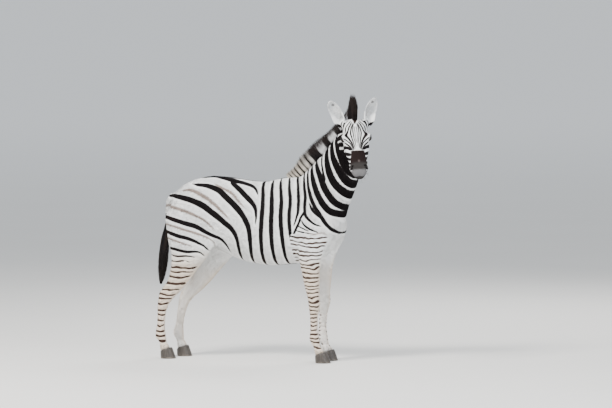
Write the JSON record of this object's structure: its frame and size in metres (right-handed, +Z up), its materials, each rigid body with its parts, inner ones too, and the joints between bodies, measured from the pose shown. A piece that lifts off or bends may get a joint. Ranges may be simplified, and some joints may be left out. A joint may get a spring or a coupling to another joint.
{
  "type": "plains zebra foal",
  "caption": "Life-size still model of a young striped zebra, standing square on its hooves with the head turned to its right, upright mane and tufted tail.",
  "frame": {"origin": "on the floor under the middle of the bounding box", "axes": "+X forward along the spine, +Y to the animal's left, +Z up"},
  "size_m": [1.309, 0.5054, 1.453],
  "materials": {
    "striped_coat": "short matt hair, black-brown stripes on white",
    "leg_coat": "short matt hair, cream with thin brown bands",
    "ear_coat": "short soft hair, pale grey inside",
    "mane_hair": "coarse upright hair, banded dark and pale",
    "tail_hair": "long coarse black hair",
    "hoof_horn": "dull dark horn",
    "eye_gloss": "wet gloss"
  },
  "bodies": {
    "root": {"trunk": "striped_coat", "neck": "striped_coat", "head": "striped_coat", "tail_dock": "striped_coat", "foreleg_upper_left": "leg_coat", "foreleg_upper_right": "leg_coat", "foreleg_lower_left": "leg_coat", "foreleg_lower_right": "leg_coat", "hindleg_upper_left": "leg_coat", "hindleg_upper_right": "leg_coat", "hindleg_lower_left": "leg_coat", "hindleg_lower_right": "leg_coat", "ear_left": "ear_coat", "ear_right": "ear_coat", "mane": "mane_hair", "tail_brush": "tail_hair", "hoof_fore_left": "hoof_horn", "hoof_fore_right": "hoof_horn", "hoof_hind_left": "hoof_horn", "hoof_hind_right": "hoof_horn", "eye_left": "eye_gloss", "eye_right": "eye_gloss"}
  },
  "joints": []
}
